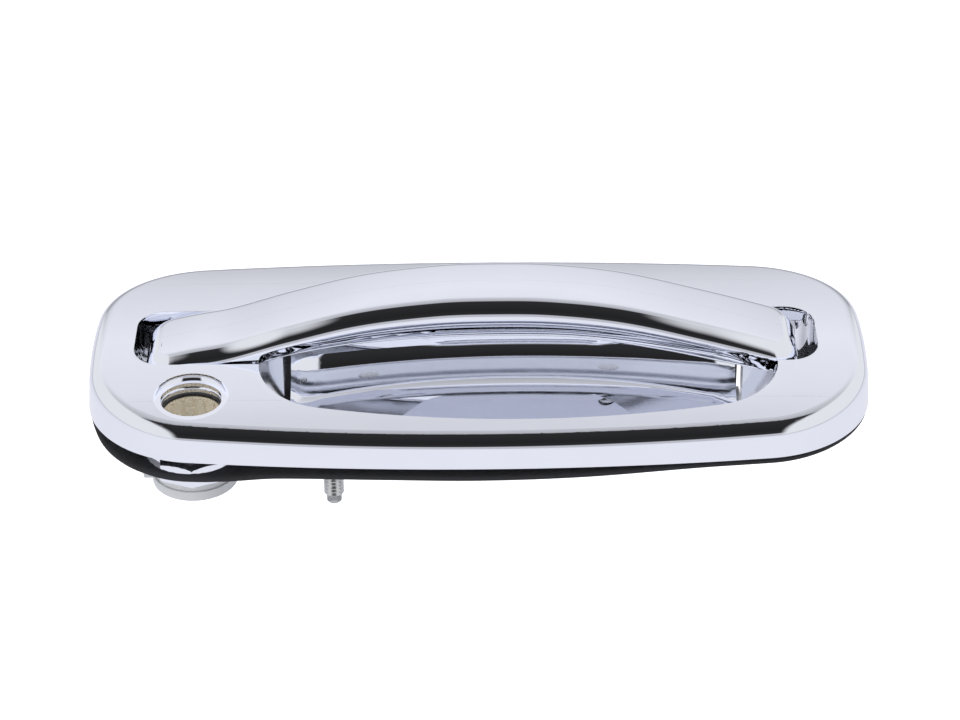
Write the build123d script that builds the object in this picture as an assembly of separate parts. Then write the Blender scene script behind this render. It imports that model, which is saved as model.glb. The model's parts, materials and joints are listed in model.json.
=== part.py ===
"""Outside door handle of the pull-strap kind: a plated bezel with a finger recess, a strap hinged at its
front end, a release crank behind its rear end, and a key bore for a lock cylinder.

Frame, in millimetres: X runs along the handle towards its rear end, Y towards its upper edge and Z outwards
from the door. The origin is midway between the two mounting studs, in the plane of the bezel's back rim.
"""

from math import radians, sqrt, tan
import os

from build123d import *

# Bezel plate
PLATE_LENGTH, PLATE_WIDTH = 238.0, 106.8
PLATE_ARCS = (800.0, 250.0, 36.0)
SIDE_LEAN = 4.1
BLANK_TOP = 18.0
CROWN_TOP = 14.0
CROWN_RADIUS = 330.0
EDGE_ROUND = 5.0
WALL = 2.6

# Strap slot and finger recess
SLOT_LEFT, SLOT_RIGHT = -104.8, 103.3
SLOT_FRONT, SLOT_BACK = -15.8, 15.2
SLOT_CORNER = 9.0
SLOT_INNER_LEFT, SLOT_INNER_RIGHT = -58.0, 79.4
CURTAIN = 1.8
CURTAIN_END = -3.0
SLOT_SHELF = 1.0
PIVOT_ROOM_R = 6.0
RECESS_X, RECESS_Y = 12.0, -12.9
RECESS_HALF_X, RECESS_HALF_Y = 78.0, 30.6
RECESS_ARCS = (300.0, 70.0, 22.0)
RECESS_MOUTH_Z, RECESS_FLOOR_Z = 10.5, -8.5
RECESS_LEAN = 8.0
RECESS_ROUND = 14.0
RECESS_WALL = 2.0

# Strap
STRAP_LEFT, STRAP_RIGHT = -101.5, 97.5
STRAP_FRONT, STRAP_BACK = -14.8, 14.0
STRAP_CORNER = 8.0
STRAP_ROUND = 5.0
STRAP_SKIN, STRAP_SIDE, STRAP_END = 4.0, 2.4, 3.0
STRAP_TOP = [(-101.5, 12.6), (-88, 15.8), (-76, 18.2), (-58, 23.8), (-36, 29.6), (-13, 32.7), (4, 33.3),
             (22, 32.8), (44, 29.9), (69, 23.4), (92, 16.5), (97.5, 14.1)]
STRAP_UNDER = [(97.5, 5.4), (90, 8.0), (74, 12.0), (55, 16.6), (31, 21.0), (10, 22.0), (-13, 21.6),
               (-36, 19.6), (-51, 17.0), (-64, 13.6), (-79, 8.2), (-101.5, 4.2)]
LEG_LEFT, LEG_RIGHT = 80.5, 91.5
LEG_FRONT, LEG_BACK = -9.4, -1.2
LEG_TOP, LEG_END = 11.0, -23.2
ARM_LEFT, ARM_LEG, ARM_RIGHT = -94.0, -68.0, -59.6
ARM_FRONT, ARM_BACK = -8.0, 7.0
ARM_TOP, ARM_LEG_TOP, ARM_END = 7.0, 15.0, -8.0
STRAP_SCREWS = [(-30.0, 19.6, 28.8), (38.0, 19.4, 29.0)]
STRAP_SCREW_R, STRAP_SCREW_HEAD_R, STRAP_SCREW_HEAD = 1.5, 2.9, 1.8

# Strap pivot
PIVOT_X, PIVOT_Z = -97.0, -4.0
PIN_R = 2.5
BUSH_R = 3.5
EYE_R = 5.2
RUNNING = 0.04
EAR_FRONT, EAR_BACK, EAR_HALF = -18.6, 17.2, 5.0
PIN_START, PIN_END = -17.8, 19.4
BUSH_LENGTH, BUSH_FLANGE, BUSH_FLANGE_R = 6.0, 0.8, 4.6
CLIP_THICK, CLIP_R, CLIP_GAP, CLIP_PLAY = 0.8, 4.4, 1.5, 0.2
GROOVE_R = 1.9
SPRING_R, SPRING_WIRE_R = 3.9, 0.6
STRAP_SPRING_START, STRAP_SPRING_PITCH = -15.0, 1.28

# Release crank, turning about X
CRANK_Y, CRANK_Z = 30.0, -4.0
HUB_R = 5.0
HUB_LEFT, HUB_RIGHT = 77.2, 91.0
LOBE_Y, LOBE_Z, LOBE_R = 5.3, -14.5, 3.2
LOBE_LEFT, LOBE_RIGHT, LOBE_ARM_HALF = 84.0, 90.0, 2.0
LOBE_ROOM, LOBE_WINDOW_FRONT, LOBE_WINDOW_BACK = 1.5, 3.0, 8.0
PULL_X, PULL_Z, PULL_R = 87.0, -20.3, 2.2
PULL_START, PULL_END = -7.0, 6.6
ROD_Z = -30.0
ROD_ARM_LEFT, ROD_ARM_RIGHT = 78.0, 82.0
ROD_EYE_R, ROD_HOLE_R, ROD_R, ROD_ARM_HALF = 5.0, 3.0, 1.6, 3.2
ROD_CLIP_LEFT, ROD_CLIP_RIGHT, ROD_CLIP_RIM, ROD_CLIP_RIM_R = 76.6, 83.2, 1.2, 4.4
WEIGHT_Y, WEIGHT_Z, WEIGHT_R, WEIGHT_EYE_R = 38.5, -9.0, 3.6, 5.0
WEIGHT_LEFT, WEIGHT_RIGHT = 79.5, 95.0
CRANK_SPRING_START, CRANK_SPRING_PITCH = 92.1, 1.25
SPRING_TURNS = 4

# Crank bracket, folded from sheet
BRACKET_LEFT, BRACKET_RIGHT = 74.0, 100.0
BRACKET_FRONT, BRACKET_BACK = 24.5, 37.5
BRACKET_TAB = 62.5
BRACKET_TOP, BRACKET_THICK = 4.5, 2.4
CRANK_PIN_TAIL, CRANK_PIN_HEAD = 1.8, 1.0
BRACKET_END = -9.5
FLANGE_FRONT, FLANGE_BACK = 25.0, 35.0
BRACKET_SCREWS = [(67.5, 31.0), (89.0, 33.0)]
SCREW_R, SCREW_HEAD_R, SCREW_HEAD, SCREW_BOSS_R = 2.0, 3.8, 1.8, 4.2
SCREW_TIP = 8.4

# Shields behind the slot
TRAY_LEFT, TRAY_RIGHT = -104.0, -47.0
TRAY_FRONT, TRAY_BACK, TRAY_THICK = -17.4, 26.0, 1.4
SHIELD_LEFT, SHIELD_RIGHT = 84.2, 103.0
SHIELD_THICK, SHIELD_TOP, SHIELD_END, SHIELD_SILL = 1.5, -3.0, -24.0, 4.0

# Mounting studs, M6
STUD_X, STUD_Y = 43.5, 43.4
STUD_R, STUD_POINT_R, STUD_PILOT_R = 3.0, 2.25, 2.2
STUD_TOP, STUD_THREAD_END, STUD_END = 4.5, -14.2, -17.4
STUD_SOCKET, STUD_COLLAR_R = 1.0, 2.9
STUD_CLEAR_R = 3.2
PAD_R = 5.5

# Key bore
KEY_X, KEY_Y = -85.8, -31.6
KEY_MOUTH_R, KEY_DISH_R, KEY_DISH_DEPTH = 9.2, 11.2, 1.2
KEY_BORE_R = 8.7
SLEEVE_R = 10.3
SLEEVE_TOP, SEAL_THICK, SEAL_R = 7.8, 1.0, 8.7
BOSS_FLATS = 12.4
BOSS_END = -11.6
FLUTES, FLUTE_R = 16, 0.55
RETAINER_END = -13.4
RETAINER_R, RETAINER_EAR_R, RETAINER_EAR_HALF = 12.4, 15.8, 5.0
ROTOR_R, ROTOR_TOP, ROTOR_END = 13.0, -13.5, -16.9
SPIGOT_R, SPIGOT_TOP = 6.0, -11.6
TANG_LENGTH, TANG_WIDTH, TANG_DEPTH = 9.0, 2.2, 3.5
LEVER_REACH, LEVER_HALF, LEVER_TOP, LEVER_END = 24.0, 4.5, -13.9, -16.5
LOCK_CLIP_R, LOCK_CLIP_RIM_R, LOCK_CLIP_RIM, LOCK_ROD_R = 2.6, 4.0, 1.4, 1.5

# Gasket
GASKET_THICK = 1.6
GASKET_INSET = 0.8
GASKET_BAND = 6.0
GASKET_GAP = 0.6

# Heights that clear the whole handle, for cuts that go right through
FAR_ABOVE, FAR_BELOW = 60.0, -80.0

os.makedirs("parts", exist_ok=True)


def oval(half_x, half_y, arcs, inset=0.0):
    """A face bounded by four shallow arcs joined by round corners, drawn in by inset all round."""
    side_r, end_r, corner_r = [radius - inset for radius in arcs]
    half_x, half_y = half_x - inset, half_y - inset
    x, y = half_x, half_y
    for _ in range(40):
        x = half_x - end_r + sqrt(end_r ** 2 - y ** 2)
        y = half_y - side_r + sqrt(side_r ** 2 - x ** 2)
    corners = [(x, y), (-x, y), (-x, -y), (x, -y)]
    middles = [(0, half_y), (-half_x, 0), (0, -half_y), (half_x, 0)]
    sides = [ThreePointArc(corners[i], middles[i], corners[(i + 1) % 4]) for i in range(4)]
    face = make_face(sides)
    return fillet(face.vertices(), corner_r)


def plate_blank(inset):
    """The plate's leaning sides as a solid, drawn in by inset and taller than the crown."""
    low = -1 if inset else 0
    face = Pos(0, 0, low) * oval(PLATE_LENGTH / 2, PLATE_WIDTH / 2, PLATE_ARCS, inset)
    return extrude(face, amount=BLANK_TOP - low, taper=SIDE_LEAN)


def crown_drop(y):
    """How far the crowned face has fallen at a distance y from the plate's centreline."""
    return y * y / (2 * CROWN_RADIUS)


def under_crown(drop):
    """Everything below the crowned face, lowered by drop."""
    half = PLATE_WIDTH
    top = CROWN_TOP - drop
    edge = top - crown_drop(half)
    sides = Polyline((-half, edge), (-half, FAR_BELOW), (half, FAR_BELOW), (half, edge))
    arc = ThreePointArc((half, edge), (0, top), (-half, edge))
    return extrude(Plane.YZ * make_face(sides + arc), amount=PLATE_LENGTH, both=True)


def block(x0, x1, y0, y1, z0, z1):
    """A box by its limits."""
    return Pos((x0 + x1) / 2, (y0 + y1) / 2, (z0 + z1) / 2) * Box(x1 - x0, y1 - y0, z1 - z0)


def rod_x(y, z, low, high, radius):
    """A cylinder along X."""
    return Pos((low + high) / 2, y, z) * Rot(0, 90, 0) * Cylinder(radius, high - low)


def rod_y(x, z, low, high, radius):
    """A cylinder along Y."""
    return Pos(x, (low + high) / 2, z) * Rot(90, 0, 0) * Cylinder(radius, high - low)


def rod_z(x, y, low, high, radius):
    """A cylinder along Z."""
    return Pos(x, y, (low + high) / 2) * Cylinder(radius, high - low)


def link_x(start, end, half_width, low, high):
    """A flat link with round ends between two (y, z) points, thick along X."""
    dy, dz = end[0] - start[0], end[1] - start[1]
    middle = (low, (start[0] + end[0]) / 2, (start[1] + end[1]) / 2)
    plane = Plane(origin=middle, x_dir=(0, dy, dz), z_dir=(1, 0, 0))
    return extrude(plane * SlotCenterToCenter(sqrt(dy * dy + dz * dz), 2 * half_width), amount=high - low)


def coil(radius, wire_radius, pitch, turns):
    """A helical wire about Z, starting at z = 0."""
    path = Helix(pitch=pitch, height=pitch * turns, radius=radius)
    section = Plane(origin=path @ 0, z_dir=path % 0) * Circle(wire_radius)
    return sweep(section, path=path)


def slot_prism(x0, x1, grow, low, high):
    """The strap slot between two X limits, as a solid."""
    shape = RectangleRounded(x1 - x0 + 2 * grow, SLOT_BACK - SLOT_FRONT + 2 * grow, SLOT_CORNER + grow)
    return extrude(Pos((x0 + x1) / 2, (SLOT_FRONT + SLOT_BACK) / 2, low) * shape, amount=high - low)


def recess(grow):
    """The finger recess as a solid, with leaning walls and a rounded floor, grown by a wall thickness."""
    floor = RECESS_FLOOR_Z - grow
    narrowing = (RECESS_MOUTH_Z - floor) * tan(radians(RECESS_LEAN)) - grow
    face = oval(RECESS_HALF_X, RECESS_HALF_Y, RECESS_ARCS, narrowing)
    bowl = extrude(Pos(RECESS_X, RECESS_Y, floor) * face, amount=BLANK_TOP - floor, taper=-RECESS_LEAN)
    return fillet(bowl.faces().sort_by(Axis.Z)[0].edges(), RECESS_ROUND + grow)


def octagon_prism(apothem, low, high):
    """The eight-sided boss round the key bore."""
    shape = RegularPolygon(apothem, 8, major_radius=False)
    return extrude(Pos(KEY_X, KEY_Y, low) * shape, amount=high - low)


def lobe_window(low, high):
    """Room for the crank's lobe arm through whatever stands behind the slot."""
    front, back = SLOT_BACK - LOBE_WINDOW_FRONT, SLOT_BACK + LOBE_WINDOW_BACK
    return block(LOBE_LEFT - LOBE_ROOM, LOBE_RIGHT + LOBE_ROOM, front, back, low, high)


def bezel_hangers():
    """The recess tub, slot curtain, bosses and pivot ears that hang behind the bezel's face, unhollowed."""
    parts = recess(RECESS_WALL)
    parts += slot_prism(SLOT_LEFT, SLOT_RIGHT, CURTAIN, CURTAIN_END, BLANK_TOP)
    parts += octagon_prism(BOSS_FLATS, BOSS_END, BLANK_TOP)
    for side in (-1, 1):
        parts += rod_z(side * STUD_X, side * STUD_Y, 0, BLANK_TOP, PAD_R)
    for x, y in BRACKET_SCREWS:
        parts += rod_z(x, y, BRACKET_TOP, BLANK_TOP, SCREW_BOSS_R)
    for low, high in ((EAR_FRONT, SLOT_FRONT), (SLOT_BACK, EAR_BACK)):
        parts += block(PIVOT_X - EAR_HALF, PIVOT_X + EAR_HALF, low, high, PIVOT_Z - EYE_R, BLANK_TOP)
    return parts


def bezel():
    """The plated die-casting that everything else is fastened to."""
    high, low = FAR_ABOVE, FAR_BELOW
    openings = recess(0)
    openings += slot_prism(SLOT_LEFT, SLOT_INNER_LEFT, 0, low, high)
    openings += slot_prism(SLOT_INNER_RIGHT, SLOT_RIGHT, 0, low, high)
    openings += slot_prism(SLOT_LEFT, SLOT_RIGHT, 0, SLOT_SHELF, high)
    hangers = bezel_hangers() - openings

    outer = plate_blank(0) & under_crown(0)
    shoulder = outer.edges().filter_by(lambda e: e.bounding_box().min.Z > 4)
    outer = fillet(shoulder, EDGE_ROUND)
    hollow = (plate_blank(WALL) & under_crown(WALL)) - hangers
    body = outer - hollow
    body += hangers & block(-PLATE_LENGTH, PLATE_LENGTH, -PLATE_WIDTH, PLATE_WIDTH, low, 0)
    body -= openings

    body -= lobe_window(low, SCREW_TIP)
    body -= rod_z(KEY_X, KEY_Y, low, SLEEVE_TOP, SLEEVE_R)
    body -= rod_z(KEY_X, KEY_Y, low, high, KEY_MOUTH_R)
    dish_z = CROWN_TOP - crown_drop(KEY_Y) - KEY_DISH_DEPTH
    body -= rod_z(KEY_X, KEY_Y, dish_z, high, KEY_DISH_R)
    for side in (-1, 1):
        body -= rod_z(side * STUD_X, side * STUD_Y, -1, STUD_TOP, STUD_PILOT_R)
        body -= rod_z(side * STUD_X, side * STUD_Y, low, STUD_SOCKET, STUD_R)
        body -= rod_z(side * STUD_X, side * STUD_Y, low, 0, STUD_CLEAR_R)
    for x, y in BRACKET_SCREWS:
        body -= rod_z(x, y, 0, SCREW_TIP, SCREW_R)
    body -= rod_y(PIVOT_X, PIVOT_Z, SLOT_FRONT, SLOT_BACK, PIVOT_ROOM_R)
    return body - rod_y(PIVOT_X, PIVOT_Z, PIN_START, PIN_END, PIN_R)


def strap_blank(drop, side, end):
    """The strap as a solid, with its top lowered by drop and its sides and ends drawn in."""
    top = Spline(*[(x, z - drop) for x, z in STRAP_TOP])
    under = Spline(*STRAP_UNDER)
    right = Line(top @ 1, under @ 0)
    left = Line(under @ 1, top @ 0)
    profile = Plane.XZ * make_face([top, right, under, left])
    wide = extrude(profile, amount=PLATE_WIDTH / 2, both=True)
    plan = RectangleRounded(STRAP_RIGHT - STRAP_LEFT - 2 * end, STRAP_BACK - STRAP_FRONT - 2 * side,
                            STRAP_CORNER - side)
    middle = Pos((STRAP_LEFT + STRAP_RIGHT) / 2, (STRAP_FRONT + STRAP_BACK) / 2, 0)
    return wide & extrude(middle * plan, amount=FAR_ABOVE)


def strap_screw(x, under_z, tip_z):
    """One countersunk screw through the strap, head down, reaching up to tip_z."""
    y = (STRAP_FRONT + STRAP_BACK) / 2
    head = Pos(x, y, under_z + STRAP_SCREW_HEAD / 2) * Cone(STRAP_SCREW_HEAD_R, STRAP_SCREW_R, STRAP_SCREW_HEAD)
    return head + rod_z(x, y, under_z, tip_z, STRAP_SCREW_R)


def strap_screw_room(x, under_z, tip_z):
    """A strap screw with the open counterbore below its head."""
    y = (STRAP_FRONT + STRAP_BACK) / 2
    return strap_screw(x, under_z, tip_z) + rod_z(x, y, 0, under_z, STRAP_SCREW_HEAD_R)


def handle_strap():
    """The chromed outer shell of the strap."""
    blank = strap_blank(0, 0, 0)
    blank = fillet(blank.faces().filter_by(lambda f: f.normal_at().Z > 0.8).edges(), STRAP_ROUND)
    shell = blank - strap_blank(STRAP_SKIN, STRAP_SIDE, STRAP_END)
    for x, under_z, tip_z in STRAP_SCREWS:
        shell -= strap_screw(x, under_z, tip_z)
    return shell


def strap_inner():
    """The strap's core, with the hinge arm at one end and the pull leg at the other."""
    core = strap_blank(STRAP_SKIN, STRAP_SIDE, STRAP_END)
    core += block(ARM_LEFT, ARM_RIGHT, ARM_FRONT, ARM_BACK, ARM_END, ARM_TOP)
    core += block(ARM_LEG, ARM_RIGHT, ARM_FRONT, ARM_BACK, ARM_END, ARM_LEG_TOP)
    core += rod_y(PIVOT_X, PIVOT_Z, ARM_FRONT, ARM_BACK, EYE_R)
    core += block(LEG_LEFT, LEG_RIGHT, LEG_FRONT, LEG_BACK, LEG_END, LEG_TOP)
    core -= rod_y(PIVOT_X, PIVOT_Z, ARM_FRONT, ARM_BACK, BUSH_R)
    core -= rod_y(PULL_X, PULL_Z, PULL_START, PULL_END, PULL_R)
    for x, under_z, tip_z in STRAP_SCREWS:
        core -= strap_screw_room(x, under_z, tip_z)
    return core


def pivot_bushes():
    """Two flanged bushes, one pushed into each side of the strap's hinge eye."""
    bushes = []
    for face_y, outward in ((ARM_FRONT, -1), (ARM_BACK, 1)):
        inner_y = face_y - outward * BUSH_LENGTH
        outer_y = face_y + outward * BUSH_FLANGE
        bush = rod_y(PIVOT_X, PIVOT_Z, min(inner_y, outer_y), max(inner_y, outer_y), BUSH_R)
        bush += rod_y(PIVOT_X, PIVOT_Z, min(face_y, outer_y), max(face_y, outer_y), BUSH_FLANGE_R)
        bush -= rod_y(PIVOT_X, PIVOT_Z, ARM_FRONT - 5, ARM_BACK + 5, PIN_R + RUNNING)
        bushes.append(bush)
    return Compound(bushes)


def snap_ring():
    """An open retaining ring lying in the XY plane from z = 0 up."""
    ring = rod_z(0, 0, 0, CLIP_THICK, CLIP_R) - rod_z(0, 0, 0, CLIP_THICK, GROOVE_R)
    return ring - block(0, CLIP_R + 1, -CLIP_GAP / 2, CLIP_GAP / 2, 0, CLIP_THICK)


def pivot_pin():
    """The strap's hinge pin, blind at the front and grooved at the back."""
    pin = rod_y(PIVOT_X, PIVOT_Z, PIN_START, PIN_END, PIN_R)
    clip_face = EAR_BACK + CLIP_PLAY
    waste = rod_y(PIVOT_X, PIVOT_Z, clip_face, clip_face + CLIP_THICK, PIN_R + 1)
    waste -= rod_y(PIVOT_X, PIVOT_Z, PIN_START, PIN_END, GROOVE_R)
    return pin - waste


def crank_pin():
    """The crank's headed pin through both bracket flanges."""
    pin = rod_x(CRANK_Y, CRANK_Z, BRACKET_LEFT, BRACKET_RIGHT + CRANK_PIN_TAIL, PIN_R)
    pin += rod_x(CRANK_Y, CRANK_Z, BRACKET_LEFT - CRANK_PIN_HEAD, BRACKET_LEFT, PIN_R + 1)
    clip_face = BRACKET_RIGHT + CLIP_PLAY
    waste = rod_x(CRANK_Y, CRANK_Z, clip_face, clip_face + CLIP_THICK, PIN_R + 1)
    waste -= rod_x(CRANK_Y, CRANK_Z, BRACKET_RIGHT, BRACKET_RIGHT + 3, GROOVE_R)
    return pin - waste


def bracket_screw(x, y):
    """One countersunk screw through the crank bracket into the bezel."""
    head_z = BRACKET_TOP - BRACKET_THICK
    head = Pos(x, y, head_z + SCREW_HEAD / 2) * Cone(SCREW_HEAD_R, SCREW_R, SCREW_HEAD)
    return head + rod_z(x, y, head_z, SCREW_TIP, SCREW_R)


def crank_bracket():
    """The folded steel bracket that carries the crank behind the bezel."""
    under = BRACKET_TOP - BRACKET_THICK
    body = block(BRACKET_TAB, BRACKET_RIGHT, BRACKET_FRONT, BRACKET_BACK, under, BRACKET_TOP)
    for x in (BRACKET_LEFT, BRACKET_RIGHT - BRACKET_THICK):
        body += block(x, x + BRACKET_THICK, FLANGE_FRONT, FLANGE_BACK, BRACKET_END, under)
    body -= rod_x(CRANK_Y, CRANK_Z, BRACKET_LEFT, BRACKET_RIGHT, PIN_R)
    for x, y in BRACKET_SCREWS:
        body -= bracket_screw(x, y)
    return body


def release_crank():
    """The crank: a lobe that the strap's pull pin lifts, an arm for the latch rod and an eye for the weight."""
    hub = (CRANK_Y, CRANK_Z)
    body = rod_x(CRANK_Y, CRANK_Z, HUB_LEFT, HUB_RIGHT, HUB_R)
    body += link_x(hub, (LOBE_Y, LOBE_Z), LOBE_ARM_HALF, LOBE_LEFT, LOBE_RIGHT)
    body += rod_x(LOBE_Y, LOBE_Z, LOBE_LEFT, LOBE_RIGHT, LOBE_R)
    body += link_x(hub, (CRANK_Y, ROD_Z), ROD_ARM_HALF, ROD_ARM_LEFT, ROD_ARM_RIGHT)
    body += rod_x(CRANK_Y, ROD_Z, ROD_ARM_LEFT, ROD_ARM_RIGHT, ROD_EYE_R)
    body += rod_x(WEIGHT_Y, WEIGHT_Z, LOBE_LEFT, LOBE_RIGHT, WEIGHT_EYE_R)
    body += link_x(hub, (WEIGHT_Y, WEIGHT_Z), LOBE_R, LOBE_LEFT, LOBE_RIGHT)
    body -= rod_x(WEIGHT_Y, WEIGHT_Z, WEIGHT_LEFT, WEIGHT_RIGHT, WEIGHT_R)
    body -= rod_x(CRANK_Y, ROD_Z, ROD_ARM_LEFT, ROD_ARM_RIGHT, ROD_HOLE_R)
    body -= rod_x(CRANK_Y, CRANK_Z, BRACKET_LEFT, BRACKET_RIGHT, PIN_R + RUNNING)
    return body


def rod_clip():
    """The nylon clip that holds the latch rod in the crank's arm."""
    clip = rod_x(CRANK_Y, ROD_Z, ROD_CLIP_LEFT, ROD_CLIP_RIGHT, ROD_HOLE_R)
    clip += rod_x(CRANK_Y, ROD_Z, ROD_ARM_RIGHT, ROD_CLIP_RIGHT, ROD_CLIP_RIM_R)
    return clip - rod_x(CRANK_Y, ROD_Z, ROD_CLIP_LEFT, ROD_CLIP_RIGHT, ROD_R)


def mounting_stud(side):
    """One M6 stud: a pilot pressed into the bezel, a collar in its socket, the thread and a plain point."""
    x, y = side * STUD_X, side * STUD_Y
    stud = rod_z(x, y, STUD_SOCKET, STUD_TOP, STUD_PILOT_R)
    stud += rod_z(x, y, 0, STUD_SOCKET, STUD_COLLAR_R)
    stud += rod_z(x, y, STUD_THREAD_END, 0, STUD_R)
    stud += rod_z(x, y, STUD_END, STUD_THREAD_END, STUD_POINT_R)
    return chamfer(stud.edges().filter_by(GeomType.CIRCLE).sort_by(Axis.Z)[0], 0.5)


def lock_sleeve():
    """The plated sleeve that lines the key bore, fluted lengthwise inside."""
    top = SLEEVE_TOP - SEAL_THICK
    tube = rod_z(0, 0, BOSS_END + 0.2, top, SLEEVE_R) - rod_z(0, 0, BOSS_END, top, KEY_BORE_R)
    flute = rod_z(KEY_BORE_R, 0, BOSS_END, top - 1, FLUTE_R)
    for index in range(FLUTES):
        tube -= Rot(0, 0, 360 * index / FLUTES) * flute
    return Pos(KEY_X, KEY_Y) * tube


def lock_seal():
    """The rubber ring above the sleeve."""
    low = SLEEVE_TOP - SEAL_THICK
    return rod_z(KEY_X, KEY_Y, low, SLEEVE_TOP, SLEEVE_R) - rod_z(KEY_X, KEY_Y, low, SLEEVE_TOP, SEAL_R)


def lock_retainer():
    """The nylon washer under the boss, with two ears that stick out past it."""
    body = rod_z(KEY_X, KEY_Y, RETAINER_END, BOSS_END, RETAINER_R)
    ears = rod_z(KEY_X, KEY_Y, RETAINER_END, BOSS_END, RETAINER_EAR_R)
    body += ears & block(KEY_X - RETAINER_EAR_R, KEY_X + RETAINER_EAR_R, KEY_Y - RETAINER_EAR_HALF,
                         KEY_Y + RETAINER_EAR_HALF, RETAINER_END, BOSS_END)
    return body - rod_z(KEY_X, KEY_Y, RETAINER_END, BOSS_END, SPIGOT_R + RUNNING)


def lock_rotor():
    """The nylon rotor that the key turns, with its rod lever."""
    disc = rod_z(KEY_X, KEY_Y, ROTOR_END, ROTOR_TOP, ROTOR_R)
    disc = fillet(disc.edges().sort_by(Axis.Z)[0], 0.8)
    eye_y = KEY_Y + LEVER_REACH
    disc += block(KEY_X - LEVER_HALF, KEY_X + LEVER_HALF, KEY_Y, eye_y, LEVER_END, LEVER_TOP)
    disc += rod_z(KEY_X, eye_y, LEVER_END, LEVER_TOP, LEVER_HALF)
    disc += rod_z(KEY_X, KEY_Y, ROTOR_TOP, SPIGOT_TOP, SPIGOT_R)
    disc -= rod_z(KEY_X, eye_y, LEVER_END, LEVER_TOP, LOCK_CLIP_R)
    half_x, half_y = TANG_WIDTH / 2, TANG_LENGTH / 2
    return disc - block(KEY_X - half_x, KEY_X + half_x, KEY_Y - half_y, KEY_Y + half_y,
                        SPIGOT_TOP - TANG_DEPTH, SPIGOT_TOP)


def lock_rod_clip():
    """The nylon clip in the rotor's lever."""
    y = KEY_Y + LEVER_REACH
    clip = rod_z(KEY_X, y, LEVER_END - LOCK_CLIP_RIM, LEVER_TOP, LOCK_CLIP_R)
    clip += rod_z(KEY_X, y, LEVER_END - LOCK_CLIP_RIM, LEVER_END, LOCK_CLIP_RIM_R)
    return clip - rod_z(KEY_X, y, LEVER_END - LOCK_CLIP_RIM, LEVER_TOP, LOCK_ROD_R)


def door_gasket():
    """The flat foam ring between the bezel's rim and the door skin."""
    low = -GASKET_THICK
    half_x, half_y = PLATE_LENGTH / 2, PLATE_WIDTH / 2
    face = oval(half_x, half_y, PLATE_ARCS, GASKET_INSET)
    face -= oval(half_x, half_y, PLATE_ARCS, GASKET_INSET + GASKET_BAND)
    ring = extrude(Pos(0, 0, low) * face, amount=GASKET_THICK)
    for side in (-1, 1):
        ring -= rod_z(side * STUD_X, side * STUD_Y, low, 0, PAD_R + GASKET_GAP)
    boss_corner = octagon_prism(BOSS_FLATS, low, 0).bounding_box().size.X / 2 + 1
    return ring - rod_z(KEY_X, KEY_Y, low, 0, boss_corner + GASKET_GAP)


def slot_tray():
    """The tray that closes the slot below the hinge arm, hung from the recess tub."""
    top = RECESS_FLOOR_Z - RECESS_WALL
    return block(TRAY_LEFT, TRAY_RIGHT, TRAY_FRONT, TRAY_BACK, top - TRAY_THICK, top)


def leg_shield():
    """The screen behind the pull leg, notched for the crank's lobe arm."""
    sheet = block(SHIELD_LEFT, SHIELD_RIGHT, SLOT_BACK, SLOT_BACK + SHIELD_THICK, SHIELD_END, SHIELD_TOP)
    return sheet - lobe_window(SHIELD_END + SHIELD_SILL, SHIELD_TOP)


def springs():
    """The two return springs, by node name."""
    about_y = Pos(PIVOT_X, STRAP_SPRING_START, PIVOT_Z) * Rot(-90, 0, 0)
    about_x = Pos(CRANK_SPRING_START, CRANK_Y, CRANK_Z) * Rot(0, 90, 0)
    return {
        "strap_return_spring": about_y * coil(SPRING_R, SPRING_WIRE_R, STRAP_SPRING_PITCH, SPRING_TURNS),
        "crank_return_spring": about_x * coil(SPRING_R, SPRING_WIRE_R, CRANK_SPRING_PITCH, SPRING_TURNS - 0.5),
    }


NODES = {
    "bezel": bezel(),
    "handle_strap": handle_strap(),
    "strap_inner": strap_inner(),
    "strap_screws": Compound([strap_screw(*place) for place in STRAP_SCREWS]),
    "strap_pull_pin": rod_y(PULL_X, PULL_Z, PULL_START, PULL_END, PULL_R),
    "pivot_pin": pivot_pin(),
    "pivot_bushes": pivot_bushes(),
    "pivot_pin_clip": Pos(PIVOT_X, EAR_BACK + CLIP_PLAY, PIVOT_Z) * Rot(-90, 0, 0) * snap_ring(),
    "crank_bracket": crank_bracket(),
    "bracket_screws": Compound([bracket_screw(x, y) for x, y in BRACKET_SCREWS]),
    "release_crank": release_crank(),
    "crank_pin": crank_pin(),
    "crank_pin_clip": Pos(BRACKET_RIGHT + CLIP_PLAY, CRANK_Y, CRANK_Z) * Rot(0, 90, 0) * snap_ring(),
    "counterweight": rod_x(WEIGHT_Y, WEIGHT_Z, WEIGHT_LEFT, WEIGHT_RIGHT, WEIGHT_R),
    "rod_clip": rod_clip(),
    "mounting_stud_left": mounting_stud(-1),
    "mounting_stud_right": mounting_stud(1),
    "lock_sleeve": lock_sleeve(),
    "lock_seal": lock_seal(),
    "lock_retainer": lock_retainer(),
    "lock_rotor": lock_rotor(),
    "lock_rod_clip": lock_rod_clip(),
    "door_gasket": door_gasket(),
    "slot_tray": slot_tray(),
    "leg_shield": leg_shield(),
}
NODES.update(springs())

for name, shape in NODES.items():
    export_step(shape, f"parts/{name}.step")
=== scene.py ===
"""Looks for the pull-strap door handle: materials, refined chrome surfaces, floor, light and camera.

Metres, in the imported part's frame: X along the handle, Y towards its upper edge, Z outwards.
"""

import json
from math import atan2, cos, hypot, pi, radians, sin, sqrt, tan

import bmesh
import bpy
from mathutils import Matrix, Vector


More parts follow.
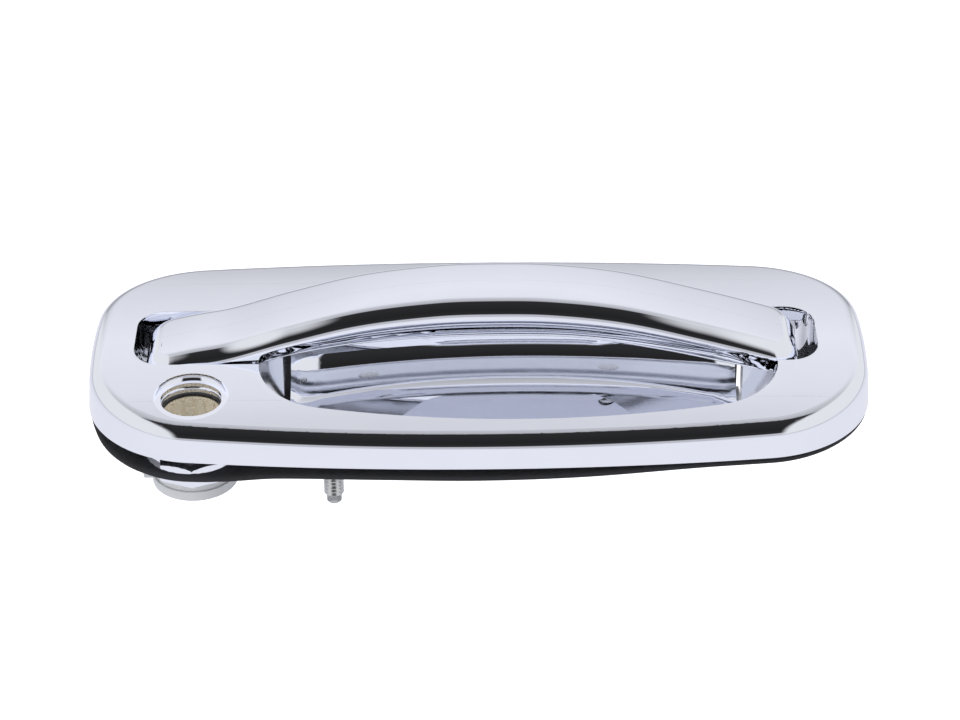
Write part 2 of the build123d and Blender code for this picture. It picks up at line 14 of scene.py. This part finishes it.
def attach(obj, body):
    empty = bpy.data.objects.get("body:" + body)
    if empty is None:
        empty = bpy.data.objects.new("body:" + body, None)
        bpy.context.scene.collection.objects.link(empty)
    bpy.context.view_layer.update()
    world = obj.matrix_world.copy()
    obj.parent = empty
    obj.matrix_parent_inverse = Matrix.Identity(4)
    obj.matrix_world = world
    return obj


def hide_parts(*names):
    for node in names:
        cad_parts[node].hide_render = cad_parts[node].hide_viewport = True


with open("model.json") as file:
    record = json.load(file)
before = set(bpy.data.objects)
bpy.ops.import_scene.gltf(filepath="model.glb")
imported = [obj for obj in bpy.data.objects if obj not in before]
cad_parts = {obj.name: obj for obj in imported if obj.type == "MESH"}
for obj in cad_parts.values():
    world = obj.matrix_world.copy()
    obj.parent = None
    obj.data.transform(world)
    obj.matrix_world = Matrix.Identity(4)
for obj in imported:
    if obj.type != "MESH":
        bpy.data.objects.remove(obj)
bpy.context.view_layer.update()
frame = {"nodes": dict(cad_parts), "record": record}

MM = 0.001

# Camera: 32 degrees above the bezel's plane, looking along +Y, rolled half a degree
TARGET = Vector((0.45, 7.3, 0.0)) * MM
DISTANCE = 1023.0 * MM
ELEVATION = 32.0
ROLL = 0.47
LENS = 123.75
SENSOR = 36.0

# Finishes: dark colour, light colour, metallic, range of roughness, noise scale, bump strength
FINISHES = {
    "bright_chrome": ((0.84, 0.85, 0.89), (0.88, 0.89, 0.93), 1, (0.02, 0.035), 60, 0.0),
    "satin_chrome": ((0.66, 0.67, 0.70), (0.72, 0.73, 0.76), 1, (0.14, 0.22), 200, 0.0),
    "zinc_steel": ((0.62, 0.62, 0.62), (0.72, 0.72, 0.70), 1, (0.22, 0.34), 600, 0.15),
    "spring_steel": ((0.20, 0.20, 0.21), (0.30, 0.30, 0.31), 1, (0.30, 0.42), 600, 0.1),
    "nickel": ((0.90, 0.84, 0.72), (0.96, 0.91, 0.80), 0.6, (0.25, 0.35), 500, 0.1),
    "black_foam": ((0.010, 0.010, 0.012), (0.030, 0.030, 0.034), 0, (0.75, 0.9), 1500, 0.5),
    "black_rubber": ((0.012, 0.012, 0.012), (0.02, 0.02, 0.02), 0, (0.45, 0.6), 700, 0.2),
    "white_nylon": ((0.62, 0.63, 0.63), (0.68, 0.69, 0.69), 0, (0.40, 0.52), 300, 0.05),
    "black_nylon": ((0.02, 0.02, 0.022), (0.04, 0.04, 0.044), 0, (0.45, 0.6), 500, 0.15),
    "cast_zinc": ((0.33, 0.33, 0.34), (0.45, 0.45, 0.46), 1, (0.5, 0.65), 500, 0.4),
}
NOISE_DETAIL, NOISE_LOW, NOISE_HIGH = 3.0, 0.3, 0.7
BUMP_DEPTH = 0.0002
MIX_FACTOR, MIX_A, MIX_B, MIX_RESULT = 0, 6, 7, 2

# Room: brightness from straight behind (0) over the top to straight in front (1), then the sides
ROOM_STOPS = [(0.0, 0.30), (0.05, 0.50), (0.11, 0.78), (0.18, 0.93), (0.24, 0.86), (0.30, 0.66), (0.43, 0.50),
              (0.46, 0.03), (0.80, 0.02), (0.93, 0.03), (0.955, 0.58), (1.0, 0.62)]
ROOM_TINT = (0.965, 0.975, 1.04)
SIDE_START, SIDE_END, SIDE_COLOUR = 0.38, 0.50, (0.86, 0.87, 0.90, 1)

# Second and later reflections: the ray depths they run from and to, and the colour mixed in by this share
LATER_START, LATER_END, LATER_SHARE, LATER_COLOUR = 2.0, 3.0, 0.85, (1.10, 1.13, 1.24, 1)

FLOOR_Z = -110.0 * MM
FLOOR_HALF = 8.0
FLOOR_COLOURS = (0.42, 0.42, 0.44), (0.44, 0.44, 0.46)
FLOOR_GLOW, FLOOR_GLOW_TO_CAMERA = 0.10, 0.9

# Area lights aimed at the origin: name, place, size and power
SOFTBOXES = [("overhead", (0.2, -0.2, 1.6), 1.6, 26), ("front_left", (-1.0, -1.3, 1.0), 1.0, 8)]

# Sizes below are in millimetres. The outlines of the bezel, strap and studs repeat the CAD part's.

# Bezel: half sizes in plan, radii of its sides, ends and corners, lean of its rim, crown and edge rounding
PLATE_HALF = (119.0, 53.4)
PLATE_ARCS = (800.0, 250.0, 36.0)
PLATE_STEPS = (30, 60, 90)
SIDE_LEAN = radians(4.1)
CROWN_TOP, CROWN_RADIUS = 14.0, 330.0
EDGE_ROUND = 5.0

# Openings in it: slot (left, right, front, back, corner radius), finger recess and key hole
SLOT = (-104.8, 103.3, -15.8, 15.2, 9.0)
RECESS_CENTRE, RECESS_HALF = (12.0, -12.9), (78.0, 30.6)
RECESS_ARCS = (300.0, 70.0, 22.0)
RECESS_STEPS = (14, 30, 50)
RECESS_MOUTH_Z, RECESS_LEAN = 10.5, radians(8.0)
KEY = (-85.8, -31.6)
KEY_DISH_R, KEY_RING_R = 11.2, 9.3

# Bezel skin: how far it stands off, its rounded mouth, its rings and the passes that find its points
SKIN = 0.04
MOUTH_ROUND, MOUTH_LIP = 0.9, 0.6
FACE_CENTRE = (12.0, -3.0)
RIM_HEIGHTS = (0.0, 1.5, 3.0, 4.5)
ROUND_STEPS, FACE_STEPS, MOUTH_STEPS = 20, 46, 6
OVAL_PASSES = 60
FOOT_GUESS, FOOT_PASSES = 9, 4
FAR_OUT, HALVINGS = 130, 26

# Key hole in the skin: faces within the first share of its radius go, open edges within the second move
HOLE_DROP, HOLE_PULL = 1.02, 1.35
FACE_LEAST_Z = 8

# Key mouth: a flare, then fine rings inside it as (radius, depth below the flare)
KEY_LAP, KEY_STEPS = 0.02, 96
FLARE_WIDTH, FLARE_DEPTH, FLARE_STEPS = 1.9, 2.3, 12
KEY_RINGS = [(9.28, 0.1), (9.1, 0.22), (8.98, 0.3), (8.95, 0.6), (8.85, 0.75), (8.82, 1.1), (9.0, 1.25)]

# Strap: left, right, front, back and corner radius in plan, then its top and underside as (x, z)
STRAP_PLAN = (-101.5, 97.5, -14.8, 14.0, 8.0)
STRAP_TOP = [(-101.5, 12.6), (-88, 15.8), (-76, 18.2), (-58, 23.8), (-36, 29.6), (-13, 32.7), (4, 33.3),
             (22, 32.8), (44, 29.9), (69, 23.4), (92, 16.5), (97.5, 14.1)]
STRAP_UNDER = [(-101.5, 4.2), (-79, 8.2), (-64, 13.6), (-51, 17.0), (-36, 19.6), (-13, 21.6), (10, 22.0),
               (31, 21.0), (55, 16.6), (74, 12.0), (90, 8.0), (97.5, 5.4)]

# Strap: rounding of its top and lower edges, width of its lower rim, fall of its top from middle to side,
# how far the rim hangs below the underside and the rest is sunk above it
STRAP_ROUND, STRAP_EDGE, STRAP_RIM, STRAP_CROWN = 5.0, 1.0, 2.4, 0.5
STRAP_DROP, STRAP_POCKET = 0.1, 0.4
TOP_STEPS, STRAP_ROUND_STEPS, STRAP_EDGE_STEPS = 10, 18, 4
CORNER_STEPS, LONG_STEPS, SHORT_STEPS = 24, 120, 8
NEARLY_CLOSED = 0.001

# Gasket: the height of its hanging front edge as (x, z), its thickness, its inset from the rim and its width,
# which narrows to stay clear of the key bore
GASKET_EDGE = [(-118, -1.6), (-114, -5.2), (-106, -6.8), (-98, -7.2), (-87, -7.2), (-76, -6.8), (-60, -5.0),
               (-30, -4.6), (0, -4.8), (30, -4.2), (65, -2.6), (95, -2.4), (118, -1.8)]
GASKET_THICK, GASKET_INSET, GASKET_BAND = 1.8, 0.3, 8.0
GASKET_CLEAR, GASKET_LEAST, GASKET_TRIM = 14.6, 1.5, 0.25
GASKET_END = 118
HANG_START, HANG_SPAN = 6.0, 30.0
GASKET_SECTION = [(0.0, 0.25), (0.12, 0.0), (0.88, 0.0), (1.0, 0.25),
                  (1.0, 0.75), (0.88, 1.0), (0.12, 1.0), (0.0, 0.75)]

# Studs: one thread groove as (radius, depth), the collar and the point as (radius, height)
STUD_PLACES = {"mounting_stud_left": (-43.5, -43.4), "mounting_stud_right": (43.5, 43.4)}
STUD_PITCH, STUD_STEPS = 1.25, 48
THREAD_START, THREAD_END = -0.1, -13.9
THREAD_GROOVE = [(3.0, 0.0), (3.0, 0.15), (2.3, 0.6), (2.3, 0.75)]
STUD_COLLAR = [(0.01, 0.9), (2.9, 0.9)]
STUD_POINT = [(2.6, -14.2), (2.25, -14.3), (2.25, -16.9), (1.8, -17.4), (0.01, -17.4)]

nodes = frame["nodes"]


def new_material(name):
    """An empty node material, its tree, its shader and its object coordinates."""
    material = bpy.data.materials.new(name)
    material.use_nodes = True
    tree = material.node_tree
    shader = tree.nodes["Principled BSDF"]
    coords = tree.nodes.new("ShaderNodeTexCoord").outputs["Object"]
    return material, tree, shader, coords


def noise(tree, coords, scale):
    """Procedural noise over the object, as a 0 to 1 factor."""
    node = tree.nodes.new("ShaderNodeTexNoise")
    node.inputs["Scale"].default_value = scale
    node.inputs["Detail"].default_value = NOISE_DETAIL
    tree.links.new(coords, node.inputs["Vector"])
    return node.outputs["Fac"]


def spread(tree, factor, low, high):
    """Maps a 0 to 1 factor to a narrow range of values."""
    node = tree.nodes.new("ShaderNodeMapRange")
    node.inputs["From Min"].default_value = NOISE_LOW
    node.inputs["From Max"].default_value = NOISE_HIGH
    node.inputs["To Min"].default_value = low
    node.inputs["To Max"].default_value = high
    tree.links.new(factor, node.inputs["Value"])
    return node.outputs["Result"]


def tint(tree, factor, dark, light):
    """A colour that wanders between two values with a factor."""
    node = tree.nodes.new("ShaderNodeMix")
    node.data_type = "RGBA"
    node.inputs[MIX_A].default_value = (*dark, 1)
    node.inputs[MIX_B].default_value = (*light, 1)
    tree.links.new(factor, node.inputs[MIX_FACTOR])
    return node.outputs[MIX_RESULT]


def surface(name, dark, light, metal, rough, grain, bump):
    """A procedural surface: two close colours, a range of roughness and an optional fine bump."""
    material, tree, shader, coords = new_material(name)
    factor = noise(tree, coords, grain)
    tree.links.new(tint(tree, factor, dark, light), shader.inputs["Base Color"])
    tree.links.new(spread(tree, factor, *rough), shader.inputs["Roughness"])
    shader.inputs["Metallic"].default_value = metal
    if bump:
        node = tree.nodes.new("ShaderNodeBump")
        node.inputs["Strength"].default_value = bump
        node.inputs["Distance"].default_value = BUMP_DEPTH
        tree.links.new(factor, node.inputs["Height"])
        tree.links.new(node.outputs["Normal"], shader.inputs["Normal"])
    return material


MATERIALS = {name: surface(name, *finish) for name, finish in FINISHES.items()}
slots = {part["node"]: part["material_slot"] for part in frame["record"]["subparts"]}
for name, node in nodes.items():
    node.data.materials.clear()
    node.data.materials.append(MATERIALS[slots[name]])


def smooth_mesh(name, rings, close=False):
    """A smooth mesh from rings of equal length; the first ring joins the last if close is set."""
    count = len(rings[0])
    points = [tuple(c * MM for c in point) for ring in rings for point in ring]
    faces = []
    spans = len(rings) if close else len(rings) - 1
    for k in range(spans):
        here, there = k * count, ((k + 1) % len(rings)) * count
        for i in range(count):
            j = (i + 1) % count
            faces.append((here + i, here + j, there + j, there + i))
    mesh = bpy.data.meshes.new(name)
    mesh.from_pydata(points, [], faces)
    mesh.validate()
    for polygon in mesh.polygons:
        polygon.use_smooth = True
    obj = bpy.data.objects.new(name, mesh)
    bpy.context.scene.collection.objects.link(obj)
    return obj


def dress(obj, node, body, replaces=True):
    """Gives a refined piece its node's finish and body, and hides the node it stands for."""
    obj.data.materials.append(MATERIALS[slots[node]])
    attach(obj, body)
    if replaces:
        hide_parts(node)
    return obj


def arc(centre, radius, start, end, steps):
    """Points and outward directions along an arc, without its last point."""
    places = []
    for k in range(steps):
        turn = start + (end - start) * k / steps
        way = (cos(turn), sin(turn))
        places.append(((centre[0] + radius * way[0], centre[1] + radius * way[1]), way))
    return places


def oval_outline(half, arcs, steps):
    """An oval of four shallow arcs and four round corners, as points with outward directions."""
    side_r, end_r, corner_r = arcs
    x, y = half[0] - corner_r, half[1] - corner_r
    for _ in range(OVAL_PASSES):
        x = half[0] - end_r + sqrt((end_r - corner_r) ** 2 - y ** 2)
        y = half[1] - side_r + sqrt((side_r - corner_r) ** 2 - x ** 2)
    end_turn = atan2(y, x - (half[0] - end_r))
    side_turn = atan2(y - (half[1] - side_r), x)
    quarter = arc((half[0] - end_r, 0), end_r, 0, end_turn, steps[0])
    quarter += arc((x, y), corner_r, end_turn, side_turn, steps[1])
    quarter += arc((0, half[1] - side_r), side_r, side_turn, pi / 2, steps[2])
    top = arc((0, half[1] - side_r), side_r, pi / 2, pi, 1)
    mirrored = [((-p[0], p[1]), (-n[0], n[1])) for p, n in reversed(quarter[1:])]
    end = [((-half[0], 0), (-1, 0))]
    upper = quarter + top + mirrored
    lower = [((p[0], -p[1]), (n[0], -n[1])) for p, n in reversed(upper[1:])]
    return upper + end + lower


def crown(y):
    """Height of the bezel's crowned face."""
    return CROWN_TOP - y * y / (2 * CROWN_RADIUS)


def reach_box(turn, centre, x0, x1, y0, y1, corner):
    """Distance from centre to a rounded rectangle in a direction, found by halving."""

    def inside(distance):
        x = centre[0] + distance * cos(turn)
        y = centre[1] + distance * sin(turn)
        dx = max(x0 + corner - x, x - x1 + corner, 0)
        dy = max(y0 + corner - y, y - y1 + corner, 0)
        return dx * dx + dy * dy < corner * corner

    return halve(inside, FAR_OUT)


def reach_outline(turn, centre, outline):
    """Distance from centre to a closed outline in a direction."""
    way = (cos(turn), sin(turn))
    best = 0
    for (p, _), (q, _) in zip(outline, outline[1:] + outline[:1]):
        side_p = way[0] * (p[1] - centre[1]) - way[1] * (p[0] - centre[0])
        side_q = way[0] * (q[1] - centre[1]) - way[1] * (q[0] - centre[0])
        if side_p * side_q > 0 or side_p == side_q:
            continue
        mix = side_p / (side_p - side_q)
        hit = (p[0] + (q[0] - p[0]) * mix - centre[0], p[1] + (q[1] - p[1]) * mix - centre[1])
        best = max(best, hit[0] * way[0] + hit[1] * way[1])
    return best


def halve(inside, far):
    """The largest distance that is still inside."""
    near = 0.0
    for _ in range(HALVINGS):
        middle = (near + far) / 2
        if inside(middle):
            near = middle
        else:
            far = middle
    return near


def edge_feet(outline):
    """Where the edge rounding's centre lies at each outline point, with its last angle."""
    feet = []
    for (px, py), (nx, ny) in outline:
        slope = py / CROWN_RADIUS * ny
        inset = EDGE_ROUND + FOOT_GUESS * tan(SIDE_LEAN)
        for _ in range(FOOT_PASSES):
            cx, cy = px - nx * inset, py - ny * inset
            cz = crown(cy) - EDGE_ROUND * sqrt(1 + slope * slope)
            inset = cz * tan(SIDE_LEAN) + EDGE_ROUND / cos(SIDE_LEAN)
            slope = cy / CROWN_RADIUS * ny
        feet.append(((cx, cy, cz), (nx, ny), atan2(1, slope)))
    return feet


def rim_rings(outline):
    """Rings up the leaning rim and over its rounded edge."""
    rings = []
    for z in RIM_HEIGHTS:
        lean = z * tan(SIDE_LEAN) - SKIN
        rings.append([(p[0] - n[0] * lean, p[1] - n[1] * lean, z) for p, n in outline])
    feet = edge_feet(outline)
    radius = EDGE_ROUND + SKIN
    for k in range(ROUND_STEPS + 1):
        ring = []
        for (cx, cy, cz), (nx, ny), top in feet:
            turn = SIDE_LEAN + (top - SIDE_LEAN) * k / ROUND_STEPS
            out = radius * cos(turn)
            ring.append((cx + nx * out, cy + ny * out, cz + radius * sin(turn)))
        rings.append(ring)
    return rings


def opening_edge(edge):
    """The joined outline of slot and recess, met on the way in from each point of the rim's top ring."""
    mouth = recess_mouth()
    places = []
    for x, y, _ in edge:
        turn = atan2(y - FACE_CENTRE[1], x - FACE_CENTRE[0])
        reach = max(reach_box(turn, FACE_CENTRE, *SLOT), reach_outline(turn, FACE_CENTRE, mouth))
        places.append((FACE_CENTRE[0] + reach * cos(turn), FACE_CENTRE[1] + reach * sin(turn), turn))
    return places


def face_rings(edge, inner):
    """Rings across the crowned face and down into the opening."""
    rings = []
    for k in range(1, FACE_STEPS + 1):
        mix = k / FACE_STEPS
        ring = []
        for (x, y, _), (ix, iy, turn) in zip(edge, inner):
            ex, ey = ix + MOUTH_ROUND * cos(turn), iy + MOUTH_ROUND * sin(turn)
            mx, my = x + (ex - x) * mix, y + (ey - y) * mix
            ring.append((mx, my, crown(my) + SKIN))
        rings.append(ring)
    for k in range(1, MOUTH_STEPS + 1):
        bend = pi / 2 * k / MOUTH_STEPS
        ring = []
        for ix, iy, turn in inner:
            out = MOUTH_ROUND * (1 - sin(bend)) - SKIN
            mx, my = ix + out * cos(turn), iy + out * sin(turn)
            ring.append((mx, my, crown(my) + SKIN - MOUTH_ROUND * (1 - cos(bend))))
        rings.append(ring)
    rings.append([(x, y, z - MOUTH_LIP) for x, y, z in rings[-1]])
    return rings


def bezel_skin():
    """The polished face and rim of the bezel, laid a hair above the casting."""
    rings = rim_rings(oval_outline(PLATE_HALF, PLATE_ARCS, PLATE_STEPS))
    edge = rings[-1]
    rings += face_rings(edge, opening_edge(edge))
    obj = smooth_mesh("bezel_skin", rings)
    cut_round_hole(obj, KEY, KEY_DISH_R)
    return dress(obj, "bezel", "mount_body", replaces=False)


def recess_mouth():
    """The recess outline where it meets the crowned face."""
    outline = oval_outline(RECESS_HALF, RECESS_ARCS, RECESS_STEPS)
    places = []
    for (px, py), (nx, ny) in outline:
        y = py + RECESS_CENTRE[1]
        grow = (crown(y) - RECESS_MOUTH_Z) * tan(RECESS_LEAN)
        places.append(((px + nx * grow + RECESS_CENTRE[0], y + ny * grow), (nx, ny)))
    return places


def cut_round_hole(obj, centre, radius):
    """Opens a round hole in a face that covers it and pulls the ragged edge onto the circle."""
    mesh = bmesh.new()
    mesh.from_mesh(obj.data)
    cx, cy, r = centre[0] * MM, centre[1] * MM, radius * MM
    low = FACE_LEAST_Z * MM

    def away(v):
        return sqrt((v.co.x - cx) ** 2 + (v.co.y - cy) ** 2)

    doomed = [f for f in mesh.faces if all(v.co.z > low and away(v) < r * HOLE_DROP for v in f.verts)]
    bmesh.ops.delete(mesh, geom=doomed, context="FACES")
    for v in mesh.verts:
        if v.is_boundary and v.co.z > low and away(v) < r * HOLE_PULL:
            stretch = r / away(v)
            v.co.x = cx + (v.co.x - cx) * stretch
            v.co.y = cy + (v.co.y - cy) * stretch
            v.co.z = (crown(v.co.y / MM) + SKIN) * MM
    mesh.to_mesh(obj.data)
    mesh.free()


def lathe(name, centre, profile, steps, crowned=False):
    """A turned piece from (radius, height) points; a crowned one follows the face at its outer edge."""
    rings = []
    outer = profile[0][0]
    for radius, height in profile:
        ring = []
        for k in range(steps):
            turn = 2 * pi * k / steps
            x, y = centre[0] + radius * cos(turn), centre[1] + radius * sin(turn)
            lift = 0.0
            if crowned:
                part = max(0.0, (radius - KEY_RING_R) / (outer - KEY_RING_R))
                lift = (crown(y) - crown(centre[1])) * part
            ring.append((x, y, height + lift))
        rings.append(ring)
    return smooth_mesh(name, rings)


def key_ring():
    """The flared chrome mouth of the key bore and the two fine rings inside it."""
    top = crown(KEY[1]) + SKIN
    profile = [(KEY_DISH_R + KEY_LAP, top)]
    for k in range(1, FLARE_STEPS + 1):
        turn = pi / 2 * k / FLARE_STEPS
        profile.append((KEY_DISH_R - FLARE_WIDTH * (1 - cos(turn)), top - FLARE_DEPTH * sin(turn)))
    base = top - FLARE_DEPTH
    profile += [(radius, base - depth) for radius, depth in KEY_RINGS]
    obj = lathe("key_ring", KEY, profile, KEY_STEPS, crowned=True)
    return dress(obj, "bezel", "mount_body", replaces=False)


def smooth_curve(knots, x):
    """A smooth curve through (x, z) knots in rising x, with slopes from their neighbours."""
    last = len(knots) - 1
    i = 0
    while i < last - 1 and x > knots[i + 1][0]:
        i += 1

    def slope(j):
        a, b = knots[max(j - 1, 0)], knots[min(j + 1, last)]
        return (b[1] - a[1]) / (b[0] - a[0])

    (x0, z0), (x1, z1) = knots[i], knots[i + 1]
    width = x1 - x0
    t = (x - x0) / width
    rise = z0 * (1 + 2 * t) * (1 - t) ** 2 + z1 * t * t * (3 - 2 * t)
    return rise + width * (slope(i) * t * (1 - t) ** 2 + slope(i + 1) * t * t * (t - 1))


def strap_outline():
    """The strap's plan outline, as points with outward directions."""
    x0, x1, y0, y1, r = STRAP_PLAN
    places = []
    corners = [(x1 - r, y1 - r), (x0 + r, y1 - r), (x0 + r, y0 + r), (x1 - r, y0 + r)]
    for k, (cx, cy) in enumerate(corners):
        turn = (k + 1) * pi / 2
        way = (cos(turn), sin(turn))
        places += arc((cx, cy), r, k * pi / 2, turn, CORNER_STEPS)
        start = (cx + r * way[0], cy + r * way[1])
        places.append((start, way))
        next_x, next_y = corners[(k + 1) % 4]
        end = (next_x + r * way[0], next_y + r * way[1])
        steps = LONG_STEPS if k % 2 == 0 else SHORT_STEPS
        for i in range(1, steps):
            mix = i / steps
            places.append(((start[0] + (end[0] - start[0]) * mix, start[1] + (end[1] - start[1]) * mix), way))
    return places


def strap():
    """The strap's polished shell, arched along its length and rounded at its edges."""
    outline = strap_outline()
    middle_y = (STRAP_PLAN[2] + STRAP_PLAN[3]) / 2
    half_y = (STRAP_PLAN[3] - STRAP_PLAN[2]) / 2

    def ring(inset, height):
        points = []
        for (px, py), (nx, ny) in outline:
            x, y = px - nx * inset, py - ny * inset
            points.append((x, y, height(x, y)))
        return points

    def top(x, y):
        return smooth_curve(STRAP_TOP, x) - STRAP_CROWN * ((y - middle_y) / half_y) ** 2

    def under(x, y):
        return smooth_curve(STRAP_UNDER, x)

    def squeezed(points, share, height):
        return [(x, middle_y + (y - middle_y) * share, height(x, middle_y + (y - middle_y) * share))
                for x, y, _ in points]

    rings = []
    edge = ring(STRAP_ROUND, top)
    for k in range(TOP_STEPS):
        rings.append(squeezed(edge, NEARLY_CLOSED + (1 - NEARLY_CLOSED) * k / TOP_STEPS, top))
    for k in range(STRAP_ROUND_STEPS + 1):
        turn = pi / 2 * k / STRAP_ROUND_STEPS
        fall = STRAP_ROUND * (1 - cos(turn))
        rings.append(ring(STRAP_ROUND * (1 - sin(turn)), lambda x, y: top(x, y) - fall))
    for k in range(STRAP_EDGE_STEPS + 1):
        turn = pi / 2 * k / STRAP_EDGE_STEPS
        lift = STRAP_EDGE * (1 - sin(turn))
        rings.append(ring(STRAP_EDGE * (1 - cos(turn)), lambda x, y: under(x, y) + lift - STRAP_DROP))
    rings.append(ring(STRAP_RIM, lambda x, y: under(x, y) - STRAP_DROP))
    rings.append(ring(STRAP_RIM, lambda x, y: under(x, y) + STRAP_POCKET))
    rings.append(squeezed(rings[-1], NEARLY_CLOSED, lambda x, y: under(x, y) + STRAP_POCKET))
    return dress(smooth_mesh("strap_shell", rings), "handle_strap", "strap")


def gasket():
    """The foam gasket, hanging away from the bezel along its front edge and most at the key end."""
    outline = oval_outline(PLATE_HALF, PLATE_ARCS, PLATE_STEPS)
    rings = [[] for _ in GASKET_SECTION]
    for (px, py), (nx, ny) in outline:
        width = GASKET_BAND
        while width > GASKET_LEAST:
            d = GASKET_INSET + width
            if hypot(px - nx * d - KEY[0], py - ny * d - KEY[1]) > GASKET_CLEAR:
                break
            width -= GASKET_TRIM
        front = min(1.0, max(0.0, (HANG_START - py) / HANG_SPAN))
        front = front * front * (3 - 2 * front)
        fall = (smooth_curve(GASKET_EDGE, max(-GASKET_END, min(GASKET_END, px))) + GASKET_THICK) * front
        for k, (across, down) in enumerate(GASKET_SECTION):
            d = GASKET_INSET + width * across
            z = min(0.0, fall) - GASKET_THICK * down
            rings[k].append((px - nx * d, py - ny * d, z))
    return dress(smooth_mesh("gasket_sheet", rings, close=True), "door_gasket", "mount_body")


def stud(node, place):
    """A stud with thread rings and a plain point."""
    profile = list(STUD_COLLAR)
    z = THREAD_START
    while z > THREAD_END:
        profile += [(radius, z - depth) for radius, depth in THREAD_GROOVE]
        z -= STUD_PITCH
    profile += STUD_POINT
    obj = lathe("thread_" + node.split("_")[-1], place, profile, STUD_STEPS)
    return dress(obj, node, "mount_body")


def studio_world():
    """Surroundings by direction: light behind, to the sides and low in front, dark overhead.

    Second and later reflections see mostly one plain pale colour.
    """
    world = bpy.data.worlds.new("studio")
    bpy.context.scene.world = world
    world.use_nodes = True
    tree = world.node_tree
    coords = tree.nodes.new("ShaderNodeTexCoord").outputs["Generated"]
    split = tree.nodes.new("ShaderNodeSeparateXYZ")
    tree.links.new(coords, split.inputs["Vector"])
    angle = tree.nodes.new("ShaderNodeMath")
    angle.operation = "ARCTAN2"
    tree.links.new(split.outputs["Z"], angle.inputs[0])
    tree.links.new(split.outputs["Y"], angle.inputs[1])
    turn = tree.nodes.new("ShaderNodeMapRange")
    turn.inputs["From Max"].default_value = pi
    tree.links.new(angle.outputs["Value"], turn.inputs["Value"])
    ramp = tree.nodes.new("ShaderNodeValToRGB")
    elements = ramp.color_ramp.elements
    elements[0].position, elements[1].position = ROOM_STOPS[0][0], ROOM_STOPS[-1][0]
    for position, _ in ROOM_STOPS[1:-1]:
        elements.new(position)
    for element, (_, value) in zip(elements, ROOM_STOPS):
        element.color = (*(value * part for part in ROOM_TINT), 1)
    tree.links.new(turn.outputs["Result"], ramp.inputs["Fac"])
    aside = tree.nodes.new("ShaderNodeMath")
    aside.operation = "ABSOLUTE"
    tree.links.new(split.outputs["X"], aside.inputs[0])
    edge = tree.nodes.new("ShaderNodeMapRange")
    edge.interpolation_type = "SMOOTHSTEP"
    edge.inputs["From Min"].default_value = SIDE_START
    edge.inputs["From Max"].default_value = SIDE_END
    tree.links.new(aside.outputs["Value"], edge.inputs["Value"])
    mix = tree.nodes.new("ShaderNodeMix")
    mix.data_type = "RGBA"
    mix.inputs[MIX_B].default_value = SIDE_COLOUR
    tree.links.new(edge.outputs["Result"], mix.inputs[MIX_FACTOR])
    tree.links.new(ramp.outputs["Color"], mix.inputs[MIX_A])
    room = tree.nodes.new("ShaderNodeMix")
    room.data_type = "RGBA"
    room.inputs[MIX_B].default_value = LATER_COLOUR
    bounce = tree.nodes.new("ShaderNodeMapRange")
    bounce.inputs["From Min"].default_value = LATER_START
    bounce.inputs["From Max"].default_value = LATER_END
    bounce.inputs["To Max"].default_value = LATER_SHARE
    tree.links.new(tree.nodes.new("ShaderNodeLightPath").outputs["Ray Depth"], bounce.inputs["Value"])
    tree.links.new(bounce.outputs["Result"], room.inputs[MIX_FACTOR])
    tree.links.new(mix.outputs[MIX_RESULT], room.inputs[MIX_A])
    tree.links.new(room.outputs[MIX_RESULT], tree.nodes["Background"].inputs["Color"])


def floor():
    """A plain pale floor well below the object, brighter to the camera than to the chrome."""
    half = FLOOR_HALF
    mesh = bpy.data.meshes.new("floor")
    corners = [(-half, -half, FLOOR_Z), (half, -half, FLOOR_Z), (half, half, FLOOR_Z), (-half, half, FLOOR_Z)]
    mesh.from_pydata(corners, [], [(0, 1, 2, 3)])
    obj = bpy.data.objects.new("floor", mesh)
    bpy.context.scene.collection.objects.link(obj)
    material, tree, shader, coords = new_material("pale_floor")
    pale = tint(tree, noise(tree, coords, 2.0), *FLOOR_COLOURS)
    tree.links.new(pale, shader.inputs["Base Color"])
    shader.inputs["Roughness"].default_value = 0.9
    shader.inputs["Specular IOR Level"].default_value = 0.0
    shader.inputs["Emission Color"].default_value = (1, 1, 1, 1)
    seen = tree.nodes.new("ShaderNodeLightPath").outputs["Is Camera Ray"]
    glow = tree.nodes.new("ShaderNodeMapRange")
    glow.inputs["To Min"].default_value = FLOOR_GLOW
    glow.inputs["To Max"].default_value = FLOOR_GLOW_TO_CAMERA
    tree.links.new(seen, glow.inputs["Value"])
    tree.links.new(glow.outputs["Result"], shader.inputs["Emission Strength"])
    mesh.materials.append(material)


def softbox(name, place, size, power):
    """A square area light aimed at the origin, which the chrome doesn't reflect."""
    light = bpy.data.lights.new(name, "AREA")
    light.size = size
    light.energy = power
    obj = bpy.data.objects.new(name, light)
    obj.location = place
    obj.rotation_euler = (-Vector(place)).to_track_quat("-Z", "Y").to_euler()
    obj.visible_glossy = False
    bpy.context.scene.collection.objects.link(obj)


def camera():
    """The camera, rolled slightly about its line of sight."""
    data = bpy.data.cameras.new("camera")
    data.lens = LENS
    data.sensor_width = SENSOR
    data.clip_end = 20
    obj = bpy.data.objects.new("camera", data)
    bpy.context.scene.collection.objects.link(obj)
    tilt = radians(ELEVATION)
    obj.location = TARGET + DISTANCE * Vector((0, -cos(tilt), sin(tilt)))
    turn = (TARGET - obj.location).to_track_quat("-Z", "Y").to_matrix()
    obj.rotation_euler = (turn @ Matrix.Rotation(radians(-ROLL), 3, "Z")).to_euler()
    bpy.context.scene.camera = obj


bezel_skin()
key_ring()
strap()
gasket()
for node, place in STUD_PLACES.items():
    stud(node, place)
studio_world()
floor()
for light in SOFTBOXES:
    softbox(*light)
camera()
bpy.context.scene.view_settings.view_transform = "Standard"
